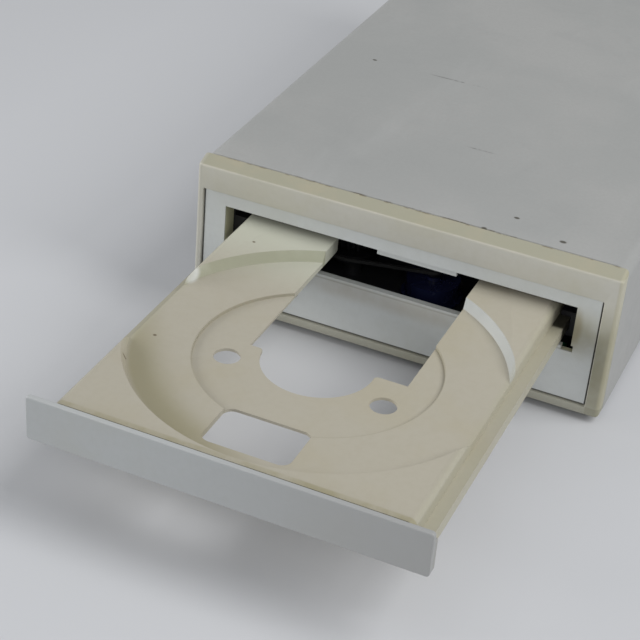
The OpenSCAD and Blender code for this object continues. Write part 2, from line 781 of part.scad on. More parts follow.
// Gear between the pinion and the tray's rack
module tray_gear() {
    color([0.85, 0.85, 0.82]) translate([gear_x, gear_y, gear_z]) difference() {
        spur_gear(tray_teeth, gear_m, gear_t, 0);
        translate([0, 0, -over]) cylinder(r = post_r + run, h = gear_t + 2 * over);
        for (a = [0:60:300]) rotate([0, 0, a])
            translate([6.2, 0, -over]) cylinder(r = 1.8, h = gear_t + 2 * over);
    }
}

// Sliding plate whose slanted slots raise the pickup base by its pins
module cam_slider() {
    slot_r = cam_pin_r + pass;
    slope = atan2(lift_h, cam_travel);
    slot_l = norm([cam_travel, lift_h]);
    color([0.86, 0.86, 0.84]) difference() {
        block([cam_left, cam_y, cam_low], [cam_right, cam_y + cam_t, cam_top]);
        for (x = [-cam_pin_x, cam_pin_x]) translate([x, cam_y - over, cam_pin_z]) {
            rod_along(0, 0, slot_r, 0, cam_t + 2 * over);
            translate([-cam_travel, 0, lift_h]) rod_along(0, 0, slot_r, 0, cam_t + 2 * over);
            rotate([0, 180 + slope, 0]) translate([0, 0, -slot_r]) cube([slot_l, cam_t + 2 * over, 2 * slot_r]);
        }
        block([cam_left + 24, cam_y - over, cam_low + 5], [cam_left + 34, cam_y + cam_t + over, cam_low + 8]);
    }
}

// Pickup base: plate with motor seat, sled opening, rod blocks, lift bosses and cam pins
module pickup_base() {
    color([0.2, 0.2, 0.21]) difference() {
        union() {
            block([base_left, base_front, base_z], [base_right, base_back, base_top]);
            for (x = [-rod_apart / 2, rod_apart / 2], y = [rod_front, rod_back - block_l])
                block([x - 3.5, y, base_z], [x + 3.5, y + block_l, rod_z + rod_r + 1.3]);
            for (y = [rod_front, rod_back - block_l])
                block([screw_x - 3.5, y, base_z], [screw_x + 3.5, y + block_l, screw_z + screw_r + 1.6]);
            for (x = guide_xs) rod_up(x, guide_y, guide_post_r + 2.5, base_z - 2, base_top + 2);
            for (x = [-cam_pin_x, cam_pin_x]) rod_along(x, cam_pin_z, cam_pin_r, cam_y - 0.6, base_front + 3);
        }
        block([-rod_apart / 2 + 2.5, rod_front + block_l, base_z - over],
            [rod_apart / 2 - 2.5, rod_back - block_l, base_top + over]);
        block([screw_x - 5.6, rod_front - 20, base_z - over], [screw_x + 5.6, rod_front, base_top + over]);
        for (x = [-rod_apart / 2, rod_apart / 2]) rod_along(x, rod_z, rod_r, rod_front - over, rod_back + over);
        rod_along(screw_x, screw_z, screw_r + run, rod_front - over, rod_back + over);
        for (x = guide_xs) rod_up(x, guide_y, guide_post_r + run, base_z - 2 - over, base_top + 2 + over);
        rod_up(0, spindle_y, 4, base_z - over, base_top + over);
    }
}

// Spindle motor under the turntable
module spindle_motor() {
    color([0.72, 0.72, 0.73]) difference() {
        union() {
            rod_up(0, spindle_y, spindle_motor_d / 2, base_top, seat_z - turntable_t - 1.4);
            rod_up(0, spindle_y, 4, base_z - 1, base_top);
            rod_up(0, spindle_y, 3, seat_z - turntable_t - 1.6, seat_z - turntable_t - 0.4);
        }
        rod_up(0, spindle_y, spindle_r + run, base_z + 1, seat_z);
    }
}

// Turntable with its shaft
module turntable() {
    color([0.15, 0.15, 0.16]) {
        rod_up(0, spindle_y, turntable_d / 2, seat_z - turntable_t, seat_z - 0.4);
        rod_up(0, spindle_y, turntable_d / 2 - 5, seat_z - 0.6, seat_z);
        rod_up(0, spindle_y, spindle_r, base_z + 2, seat_z - turntable_t + 0.2);
    }
}

// Rubber ring that the disc rests on
module turntable_mat() {
    color([0.25, 0.25, 0.25]) difference() {
        rod_up(0, spindle_y, turntable_d / 2, seat_z - 0.4, seat_z);
        rod_up(0, spindle_y, turntable_d / 2 - 5, seat_z - 0.4 - over, seat_z + over);
    }
}

// Cone that centres the disc
module centring_cone() {
    color([0.85, 0.85, 0.83]) translate([0, spindle_y, seat_z]) union() {
        cylinder(d = cone_d, h = cone_h - 1.4);
        translate([0, 0, cone_h - 1.4]) cylinder(d1 = cone_d, d2 = cone_d - 3, h = 1.4);
    }
}

// Two steel rods that guide the sled
module guide_rods() {
    color([0.8, 0.8, 0.82]) for (x = [-rod_apart / 2, rod_apart / 2])
        rod_along(x, rod_z, rod_r, rod_front - 1, rod_back + 1);
}

// Laser sled: body on the rods, with a nut arm on the lead screw
module laser_sled() {
    color([0.45, 0.46, 0.48]) difference() {
        union() {
            block([-sled_x, sled_front, sled_z], [sled_x, sled_back, sled_top]);
            block([sled_x - 1, sled_front + 9, screw_z - 1], [screw_x + 3, sled_front + 15, sled_top - 2]);
            rod_along(screw_x, screw_z, screw_r + 1, sled_front + 9, sled_front + 15);
        }
        rod_along(-rod_apart / 2, rod_z, rod_r + run, sled_front - over, sled_back + over);
        block([rod_apart / 2 - rod_r - 0.1, sled_front - over, rod_z - rod_r - 0.1],
            [sled_x + over, sled_back + over, rod_z + rod_r + 0.1]);
        rod_along(screw_x, screw_z, screw_r + 0.1, sled_front + 9 - over, sled_front + 15 + over);
    }
}

// Two magnet blocks either side of the lens holder
module actuator_magnets() {
    color([0.75, 0.75, 0.77]) for (s = [-1, 1])
        block([min(s * 7, s * 10), lens_y - 4, sled_top], [max(s * 7, s * 10), lens_y + 5, lens_top - 0.4]);
}

// Lens holder with its bore
module lens_holder() {
    color([0.1, 0.1, 0.1]) difference() {
        block([-6, lens_y - 4, sled_top + 0.6], [6, lens_y + 5, lens_top - 0.6]);
        rod_up(0, lens_y, lens_d / 2, sled_top, lens_top);
    }
}

// Objective lens: a short drum with a domed top
module objective_lens() {
    dome = 0.6;
    dome_r = (pow(lens_d / 2, 2) + pow(dome, 2)) / (2 * dome);
    low = sled_top + 0.8;
    color([0.4, 0.5, 0.75]) {
        intersection() {
            rod_up(0, lens_y, lens_d / 2, low, lens_top);
            translate([0, lens_y, lens_top - dome_r]) sphere(dome_r);
        }
    }
}

// Motor on the lead screw
module sled_motor() {
    color([0.72, 0.72, 0.73]) difference() {
        union() {
            rod_along(screw_x, screw_z, 5, rod_front - 19, rod_front - 0.5);
            rod_along(screw_x, screw_z, 2.4, rod_front - 0.6, rod_front);
        }
        rod_along(screw_x, screw_z, screw_r + run, rod_front - 10, rod_front + over);
    }
}

module lead_screw() {
    color([0.8, 0.8, 0.82]) rod_along(screw_x, screw_z, screw_r, rod_front - 9, rod_back + 1);
}

// Bridge across the frame that carries the clamp
module clamp_bridge() {
    color([0.66, 0.67, 0.68]) difference() {
        union() {
            block([-wall_x, spindle_y - 14, bridge_z], [wall_x, spindle_y + 14, bridge_z + bridge_t]);
            rod_up(0, spindle_y, puck_r + 5, bridge_z, bridge_z + bridge_t);
        }
        rod_up(0, spindle_y, neck_r + pass, bridge_z - over, bridge_z + bridge_t + over);
        both_sides() block([30, spindle_y - 8, bridge_z - over],
            [52, spindle_y + 8, bridge_z + bridge_t + over]);
    }
}

// Magnetic puck that holds the disc on the turntable
module clamp_puck() {
    color([0.12, 0.12, 0.13]) difference() {
        union() {
            rod_up(0, spindle_y, puck_r, puck_z, puck_z + puck_low_t);
            rod_up(0, spindle_y, neck_r, puck_z + puck_low_t - 0.2, puck_cap_z + 0.2);
            rod_up(0, spindle_y, puck_r, puck_cap_z, puck_cap_z + 0.9);
        }
        rod_up(0, spindle_y, cone_d / 2 + 0.8, puck_z - over, puck_z + cone_h - 1);
    }
}

// Main circuit board under the loading frame
module drive_board() {
    color([0.1, 0.35, 0.2])
        block([-main_half, base_front, shell_floor + 1.2], [main_half, base_front + main_l, main_top]);
}

module board_chips() {
    color([0.12, 0.12, 0.13]) {
        for (x = [-0.66, -0.16, 0.36], y = [0.17, 0.43, 0.69])
            translate([x * main_half, base_front + y * main_l, main_top])
            block([-10, -8, 0], [10, 8, 2]);
        for (i = [-4:4]) translate([i * main_half / 4.6, base_front + 12, main_top])
            block([-3, -2, 0], [3, 2, 1.4]);
    }
}

// Header at the rear of the board and the ribbon to the port board
module data_header() {
    color([0.12, 0.12, 0.13])
        block([-50, shell_d - 10, main_top], [4, shell_d + 2, main_top + 7]);
}

module ribbon_cable() {
    low = shell_floor + 5.4;
    color([0.6, 0.6, 0.62]) {
        block([-48, shell_d + 2, low], [2, port_board_y - 2, low + 1]);
        block([-48, port_board_y - 3, low], [2, port_board_y - 2, low + 16]);
        block([-48, port_board_y - 2.5, low + 9], [2, port_board_y, low + 16]);
    }
}

// Board behind the panel that carries the front controls
module front_board() {
    color([0.1, 0.35, 0.2]) block([board_left, board_y, control_z - 7],
        [board_right, board_y + board_t, control_z + 3]);
}

// Open and close button
module open_button() {
    color([0.78, 0.79, 0.79]) {
        plate_across(button_x, control_z, button_w, button_h, 0.9, -1.2, panel_t + 2.4);
        plate_across(button_x, control_z, button_w + 2, button_h + 2,
            0.9, panel_t + button_travel - 0.4, panel_t + 2.4);
        plate_across(button_x, control_z, 3, 3, 0.5, panel_t + 2, panel_t + 4);
    }
}

module tact_switch() {
    color([0.15, 0.15, 0.16]) {
        block([button_x - 3, panel_t + 6.2, control_z - 3], [button_x + 3, board_y, control_z + 3]);
        rod_along(button_x, control_z, 1.6, panel_t + 4 + button_travel + 0.2, panel_t + 6.4);
    }
}

// Headphone volume wheel with a ribbed edge
module volume_wheel() {
    ribs = 36;
    color([0.2, 0.2, 0.21]) translate([wheel_x, wheel_y, control_z - wheel_t / 2]) difference() {
        linear_extrude(wheel_t) polygon([for (i = [0:2 * ribs - 1])
            let (r = wheel_d / 2 - (i % 2) * 0.4, a = i * 180 / ribs) [r * cos(a), r * sin(a)]]);
        translate([0, 0, -over]) cylinder(r = spindle_r + run, h = wheel_t + 2 * over);
    }
}

module volume_pot() {
    color([0.15, 0.15, 0.16]) {
        block([wheel_x - 4, wheel_y - 2.5, control_z - 5],
            [wheel_x + 4, board_y, control_z - wheel_t / 2 - 0.4]);
        rod_up(wheel_x, wheel_y, spindle_r, control_z - wheel_t / 2 - 0.6, control_z + wheel_t / 2 + 1);
    }
}

// Headphone socket with its bore
module headphone_jack() {
    color([0.12, 0.12, 0.13]) difference() {
        union() {
            rod_along(jack_x, control_z, 4, -0.6, panel_t + 0.5);
            block([jack_x - 5, panel_t, control_z - 5.5], [jack_x + 5, board_y, control_z + 5.5]);
        }
        rod_along(jack_x, control_z, jack_bore_d / 2, -0.6 - over, board_y - 1);
    }
}

// Light pipe of the busy light
module busy_light() {
    color([0.25, 0.6, 0.25]) rod_along(light_x, control_z, light_d / 2, -0.3, board_y);
}

// Board that carries the data ports and the identity switch
module port_board() {
    color([0.1, 0.35, 0.2])
        block([port_x - port_flange / 2 - 4, port_board_y, floor_z + 6],
            [port_x + port_flange / 2 + 4, port_board_y + 1.6, roof_z - 3]);
}

// Two data ports with open mouths
module data_ports() {
    color([0.7, 0.7, 0.71]) for (z = port_zs) difference() {
        union() {
            plate_across(port_x, z, port_w + 6, port_h + 4, 1.4, port_board_y + 1.6, case_back + 3.6);
            plate_across(port_x, z, port_flange, port_h + 7, 1.4, case_back, case_back + 1.2);
        }
        plate_across(port_x, z, port_w, port_h, 1, case_back - 6, case_back + 3.6 + over);
    }
}

// Audio jack: flanged ring with a centre bore
module audio_jack(z) {
    difference() {
        union() {
            rod_along(audio_x, z, audio_d / 2, rear_in - 6, rear_reach);
            rod_along(audio_x, z, audio_d / 2 + 1.8, case_back, case_back + 1.2);
            block([audio_x - 5, rear_in - 12, z - 5], [audio_x + 5, rear_in - 0.4, z + 5]);
        }
        rod_along(audio_x, z, 1.7, rear_reach - 10, rear_reach + over);
        difference() {
            rod_along(audio_x, z, audio_d / 2 - 0.7, rear_reach - 3, rear_reach + over);
            rod_along(audio_x, z, audio_d / 2 - 1.6, rear_reach - 3 - over, rear_reach + over);
        }
    }
}

module audio_jack_left() {
    color([0.85, 0.85, 0.83]) audio_jack(audio_zs[1]);
}

module audio_jack_right() {
    color([0.6, 0.12, 0.1]) audio_jack(audio_zs[0]);
}

// Turning identity dial with an arrow slot, and its switch body
module identity_dial() {
    color([0.86, 0.86, 0.84]) difference() {
        union() {
            rod_along(audio_x, dial_z, dial_d / 2, rear_in - 1, case_back + 1.2);
            rod_along(audio_x, dial_z, 1.5, rear_in - 7, rear_in - 0.5);
        }
        block([audio_x - 0.6, case_back + 0.2, dial_z - dial_d / 2 + 1],
            [audio_x + 0.6, case_back + 1.2 + over, dial_z + 1]);
    }
}

module dial_switch() {
    color([0.12, 0.12, 0.13]) difference() {
        block([audio_x - 5, rear_in - 9, dial_z - 5], [audio_x + 5, rear_in - 1.3, dial_z + 5]);
        rod_along(audio_x, dial_z, 1.5 + run, rear_in - 7.4, rear_in);
    }
}

// Power inlet: a hollow socket, and its three pins
module power_inlet() {
    color([0.1, 0.1, 0.1]) difference() {
        union() {
            plate_across(inlet_x, inlet_z, inlet_w + 3, inlet_h + 3, 1.8, case_back - 19, case_back + 1);
            plate_across(inlet_x, inlet_z, inlet_flange, inlet_h + 7, 2.5, case_back, case_back + 1.6);
        }
        plate_across(inlet_x, inlet_z, inlet_w, inlet_h, 2, case_back - 15, case_back + 1.6 + over);
    }
}

module inlet_pins() {
    color([0.78, 0.76, 0.66]) for (p = [[-7, -2], [0, 2], [7, -2]])
        block([inlet_x + p[0] - 1, case_back - 15, inlet_z + p[1] - 2],
            [inlet_x + p[0] + 1, case_back - 4.6, inlet_z + p[1] + 2]);
}

// Power switch: frame and rocker on its pivot pins
module switch_frame() {
    color([0.1, 0.1, 0.1]) difference() {
        union() {
            plate_across(inlet_x, rocker_z, rocker_w + 6, rocker_h + 4, 1, case_back - 15, case_back + 1);
            plate_across(inlet_x, rocker_z, rocker_w + 9, rocker_h + 7, 1.4, case_back, case_back + 1.4);
        }
        plate_across(inlet_x, rocker_z, rocker_w + 0.8, rocker_h + 1.8, 0.5, case_back - 11,
            case_back + 1.4 + over);
        rod_across(rocker_y, rocker_z, rocker_pin_r + run,
            inlet_x - rocker_w / 2 - 2.4, inlet_x + rocker_w / 2 + 2.4);
    }
}

module power_rocker() {
    half = rocker_h / 2;
    color([0.13, 0.13, 0.13]) translate([inlet_x, rocker_y, rocker_z]) rotate([rocker_tilt, 0, 0]) {
        translate([-rocker_w / 2, 0, 0]) rotate([90, 0, 90]) linear_extrude(rocker_w)
            polygon([[-3, -half * 0.5], [-3, half * 0.5], [2, half], [5.2, half], [3.6, 0], [5.2, -half],
                [2, -half]]);
        rod_across(0, 0, rocker_pin_r, -rocker_w / 2 - 2.2, rocker_w / 2 + 2.2);
    }
}

// Power board with its large parts
module power_board() {
    color([0.45, 0.35, 0.15]) block([psu_left, psu_front, psu_z], [psu_right, psu_back, psu_z + 1.6]);
}

module transformer() {
    top = psu_z + 1.6;
    color([0.35, 0.3, 0.2]) {
        block([psu_left + 6, psu_front + 3, top], [psu_left + 32, psu_front + 27, top + 28]);
        block([psu_left + 3, psu_front + 8, top], [psu_left + 35, psu_front + 22, top + 22]);
    }
}

module capacitors() {
    top = psu_z + 1.6;
    color([0.12, 0.15, 0.3]) for (x = [44, 56]) rod_up(psu_left + x, psu_front + 10, 5, top, top + 22);
}

module heat_sink() {
    top = psu_z + 1.6;
    color([0.7, 0.7, 0.71]) {
        block([psu_right - 3, psu_front + 3, top], [psu_right - 1.4, psu_front + 28, top + 26]);
        for (y = [4:6:28]) block([psu_right - 8, psu_front + y, top],
            [psu_right - 2, psu_front + y + 1.2, top + 26]);
    }
}

module at_panel() {
    translate([0, panel_y, 0]) children();
}

at_panel() top_cover();
at_panel() base_pan();
at_panel() front_bezel();
at_panel() rear_panel();
at_panel() feet();
at_panel() case_screws();
at_panel() to_drive() drive_screws();
at_panel() to_drive() front_panel();
at_panel() to_drive() drive_shell();
at_panel() to_drive() drive_lid();
at_panel() to_drive() loader_frame();
at_panel() to_drive() tray();
at_panel() to_drive() tray_door();
at_panel() to_drive() loading_motor();
at_panel() to_drive() motor_pulley();
at_panel() to_drive() loading_belt();
at_panel() to_drive() loading_pulley();
at_panel() to_drive() tray_gear();
at_panel() to_drive() cam_slider();
at_panel() to_drive() pickup_base();
at_panel() to_drive() spindle_motor();
at_panel() to_drive() turntable();
at_panel() to_drive() turntable_mat();
at_panel() to_drive() centring_cone();
at_panel() to_drive() guide_rods();
at_panel() to_drive() laser_sled();
at_panel() to_drive() actuator_magnets();
at_panel() to_drive() lens_holder();
at_panel() to_drive() objective_lens();
at_panel() to_drive() sled_motor();
at_panel() to_drive() lead_screw();
at_panel() to_drive() clamp_bridge();
at_panel() to_drive() clamp_puck();
at_panel() to_drive() drive_board();
at_panel() to_drive() board_chips();
at_panel() to_drive() data_header();
at_panel() to_drive() ribbon_cable();
at_panel() to_drive() front_board();
at_panel() to_drive() open_button();
at_panel() to_drive() tact_switch();
at_panel() to_drive() volume_wheel();
at_panel() to_drive() volume_pot();
at_panel() to_drive() headphone_jack();
at_panel() to_drive() busy_light();
at_panel() port_board();
at_panel() data_ports();
at_panel() audio_jack_left();
at_panel() audio_jack_right();
at_panel() identity_dial();
at_panel() dial_switch();
at_panel() power_inlet();
at_panel() inlet_pins();
at_panel() switch_frame();
at_panel() power_rocker();
at_panel() power_board();
at_panel() transformer();
at_panel() capacitors();
at_panel() heat_sink();
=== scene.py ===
import json
import math

import bmesh
import bpy
import numpy as np
from mathutils import Matrix, Vector

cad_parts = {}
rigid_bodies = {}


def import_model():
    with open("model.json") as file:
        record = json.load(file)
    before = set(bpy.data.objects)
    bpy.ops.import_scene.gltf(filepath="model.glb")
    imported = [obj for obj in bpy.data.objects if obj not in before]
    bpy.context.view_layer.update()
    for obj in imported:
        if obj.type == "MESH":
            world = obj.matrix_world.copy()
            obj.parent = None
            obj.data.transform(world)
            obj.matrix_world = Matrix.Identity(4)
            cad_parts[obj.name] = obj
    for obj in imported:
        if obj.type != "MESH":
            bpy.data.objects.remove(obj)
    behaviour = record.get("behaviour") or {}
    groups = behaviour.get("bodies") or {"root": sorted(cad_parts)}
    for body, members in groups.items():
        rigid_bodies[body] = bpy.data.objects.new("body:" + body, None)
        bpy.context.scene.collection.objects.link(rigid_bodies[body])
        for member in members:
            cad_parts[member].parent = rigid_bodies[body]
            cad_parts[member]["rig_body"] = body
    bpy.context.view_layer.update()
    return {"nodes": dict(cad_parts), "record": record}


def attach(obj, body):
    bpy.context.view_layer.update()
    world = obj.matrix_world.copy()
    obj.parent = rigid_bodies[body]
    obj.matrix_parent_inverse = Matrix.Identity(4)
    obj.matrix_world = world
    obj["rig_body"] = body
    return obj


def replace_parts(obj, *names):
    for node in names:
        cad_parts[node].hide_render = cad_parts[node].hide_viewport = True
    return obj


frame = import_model()

# Sizes of the case and its front, in metres
MM = 0.001
DRIVE_X = -1.3 * MM
PANEL_Y = -70 * MM
CASE_HALF = 78.8 * MM
CASE_LOW, CASE_TOP = 2.5 * MM, 60 * MM
CASE_EDGE_R = 5 * MM
COVER_FRONT, COVER_BACK = PANEL_Y + 5.4 * MM, PANEL_Y + 266 * MM
COVER_WALL = 1.6 * MM
BEZEL_FRONT, BEZEL_BACK = PANEL_Y - 1 * MM, PANEL_Y + 5 * MM
BEZEL_SLOPE = 2.1 * MM
BEZEL_SIDE_R, BEZEL_CORNER_R = 1.5 * MM, 1.6 * MM
PANEL_HALF, PANEL_GAP = 74.5 * MM, 0.4 * MM
PANEL_LOW, PANEL_TOP = 6 * MM, 48 * MM
SLOT_LOW, SLOT_HALF = 26.6 * MM, 66.2 * MM

# Sizes of the tray, with the disc's place in the drive's own millimetres
DISC_AT = (0, -65, 0)
RECESS_R, RIM_R, SMALL_R = 61.4 * MM, 63 * MM, 40.75 * MM
RECESS_Z = 37 * MM
TRAY_HALF = 58.5 * MM
LIP_BACK = PANEL_Y - 132.7 * MM
DOOR_TOP = 42.7 * MM

# Marks of use: place in the drive's own millimetres, then size, or length and turn
SPECKS = [
    ((36.1, 18.0), 1.0 * MM),
    ((55.1, 10.5), 1.2 * MM),
    ((28.5, 5.3), 1.1 * MM),
    ((-55.9, 111.8), 0.9 * MM),
]
SCRATCHES = [
    ((-20.2, 111.6), 11 * MM, 0.07),
    ((7.8, 59.7), 5 * MM, 0.4),
]
TRAY_SPECKS = [(-52.2, -78.3), (-54.0, -95.0), (-48.1, -13.7)]


def drive(x, y, z):
    """The point x mm right of the drive's middle, y mm behind the panel's face and z mm above the table."""
    return (x * MM + DRIVE_X, y * MM + PANEL_Y, z * MM)


# Meshes

def mesh_object(name, points, faces, body, smooth_angle=35):
    """A mesh from an (n, 3) array of points and an (m, 4) array of corner indices.
    Doubles are merged and normals turned outward."""
    mesh = bpy.data.meshes.new(name)
    mesh.from_pydata(points.tolist(), [], faces.tolist())
    bm = bmesh.new()
    bm.from_mesh(mesh)
    bmesh.ops.remove_doubles(bm, verts=bm.verts, dist=1e-6)
    bmesh.ops.dissolve_degenerate(bm, edges=bm.edges, dist=1e-7)
    bmesh.ops.recalc_face_normals(bm, faces=bm.faces)
    bm.to_mesh(mesh)
    bm.free()
    return place(name, mesh, body, smooth_angle)


def place(name, mesh, body, smooth_angle):
    """Puts a finished mesh in the scene on a body, with edges sharper than the angle kept crisp."""
    mesh.shade_smooth()
    mesh.set_sharp_from_angle(angle=math.radians(smooth_angle))
    piece = bpy.data.objects.new(name, mesh)
    bpy.context.scene.collection.objects.link(piece)
    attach(piece, body)
    return piece


def ring_faces(rows, cols, closed_rows):
    """Quads of a grid of rows rings, each ring closed, and the stack of rings closed too if asked."""
    r = np.arange(rows if closed_rows else rows - 1)[:, None]
    c = np.arange(cols)[None, :]
    nr, nc = (r + 1) % rows, (c + 1) % cols
    corners = [r * cols + c, r * cols + nc, nr * cols + nc, nr * cols + c]
    return np.stack(corners, axis=-1).reshape(-1, 4)


def round_box_outline(left, right, low, high, r_low, r_high, per_corner=8):
    """Closed outline in x and z: a box whose lower corners have radius r_low and upper ones r_high."""
    t = np.linspace(0, np.pi / 2, per_corner)
    corners = [
        (right - r_low, low + r_low, r_low, -np.pi / 2),
        (right - r_high, high - r_high, r_high, 0.0),
        (left + r_high, high - r_high, r_high, np.pi / 2),
        (left + r_low, low + r_low, r_low, np.pi),
    ]
    return np.concatenate([
        np.column_stack([cx + r * np.cos(a + t), cz + r * np.sin(a + t)]) for cx, cz, r, a in corners
    ])


def edge_inset(depth, r):
    """How far a round edge of radius r has drawn in at a depth behind the face it rounds into."""
    d = np.clip(depth, 0, r)
    return r - np.sqrt(np.maximum(r * r - (r - d) ** 2, 0))


def stack(outlines, depths):
    """Rings of x, y, z points from outlines in x and z and one depth y each."""
    return np.concatenate([
        np.column_stack([o[:, 0], np.full(len(o), y), o[:, 1]]) for o, y in zip(outlines, depths)
    ])


def cover_shell():
    """Sheet cover: an upturned U section, out along its outer line and back along its inner one,
    carried along y. At both ends the two lines draw together to the middle of the sheet, so the
    sheet's edge is round."""
    t = np.linspace(0, np.pi / 2, 14)

    def section(inset):
        r, half, top = CASE_EDGE_R - inset, CASE_HALF - inset, CASE_TOP - inset
        side = np.linspace(CASE_LOW, top - r, 6)[:-1]
        roof = np.linspace(0, half - r, 8)[::-1][1:]
        right = np.concatenate([
            np.column_stack([np.full(len(side), half), side]),
            np.column_stack([half - r + r * np.cos(t), top - r + r * np.sin(t)]),
            np.column_stack([roof, np.full(len(roof), top)]),
        ])
        left = right[::-1][1:] * [-1, 1]
        return np.concatenate([right, left])

    edge_r = COVER_WALL / 2
    steps = np.array([0, 0.12, 0.3, 0.55, 1.0]) * edge_r
    ends = edge_inset(steps, edge_r)
    between = np.linspace(COVER_FRONT, COVER_BACK, 12)[1:-1]
    along = np.concatenate([COVER_FRONT + steps, between, COVER_BACK - steps[::-1]])
    insets = np.concatenate([ends, np.zeros(len(between)), ends[::-1]])
    outlines = [np.concatenate([section(e), section(COVER_WALL - e)[::-1]]) for e in insets]
    return stack(outlines, along), ring_faces(len(along), len(outlines[0]), False)


def bezel_frame():
    """Bezel: rings from the back of the panel opening forward, over the face and round the outer edges
    to the back. A ring's outline follows the case; its upper side drops along the slope, and upright
    edges are rounder than level ones."""
    level_r, lip_r, opening_r = 0.5 * MM, 0.35 * MM, 0.5 * MM
    low_corner_r, least_corner_r = 0.8 * MM, 0.7 * MM
    back_chamfer = 0.25 * MM
    depth = BEZEL_BACK - BEZEL_FRONT

    def opening(grow):
        half = PANEL_HALF + PANEL_GAP + grow
        return round_box_outline(
            DRIVE_X - half, DRIVE_X + half,
            PANEL_LOW - PANEL_GAP - grow, PANEL_TOP + PANEL_GAP + grow, opening_r, opening_r)

    def outer(y, back_inset=0.0):
        d = y - BEZEL_FRONT
        side = edge_inset(d, BEZEL_SIDE_R) + back_inset
        level = edge_inset(d, level_r) + back_inset
        half = CASE_HALF - side
        top = CASE_TOP - BEZEL_SLOPE * (1 - d / depth) - level
        corner = max(BEZEL_CORNER_R - side, least_corner_r)
        return round_box_outline(-half, half, CASE_LOW + level, top, low_corner_r, corner)

    lip = np.array([1.0, 0.6, 0.25, 0.0]) * lip_r
    face = np.array([0, 0.04, 0.15, 0.32, 0.5, 0.75, 1.1, 1.5, 3.0, 4.5, 5.7]) * MM
    depths = [BEZEL_BACK, *(BEZEL_FRONT + lip), *(BEZEL_FRONT + face), BEZEL_BACK]
    outlines = [
        opening(0),
        *[opening(edge_inset(d, lip_r)) for d in lip],
        *[outer(BEZEL_FRONT + d) for d in face],
        outer(BEZEL_BACK, back_chamfer),
    ]
    return stack(outlines, depths), ring_faces(len(depths), len(outlines[0]), True)


def softened(node, width):
    """The CAD node's own shape with its corners joined, flat faces made whole and every crisp edge
    rounded to width."""
    source = frame["nodes"][node]
    mesh = source.data.copy()
    bm = bmesh.new()
    bm.from_mesh(mesh)
    bmesh.ops.remove_doubles(bm, verts=bm.verts, dist=2e-6)
    bmesh.ops.dissolve_limit(bm, angle_limit=math.radians(0.6), verts=bm.verts, edges=bm.edges)
    bm.to_mesh(mesh)
    bm.free()
    mesh.materials.clear()
    piece = place(node + "_soft", mesh, source["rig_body"], 30)
    bevel = piece.modifiers.new("edges", "BEVEL")
    bevel.width, bevel.segments = width, 3
    bevel.limit_method, bevel.angle_limit = "ANGLE", math.radians(32)
    bevel.use_clamp_overlap, bevel.miter_outer = True, "MITER_ARC"
    bevel.harden_normals = True
    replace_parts(piece, node)
    return piece


# Materials

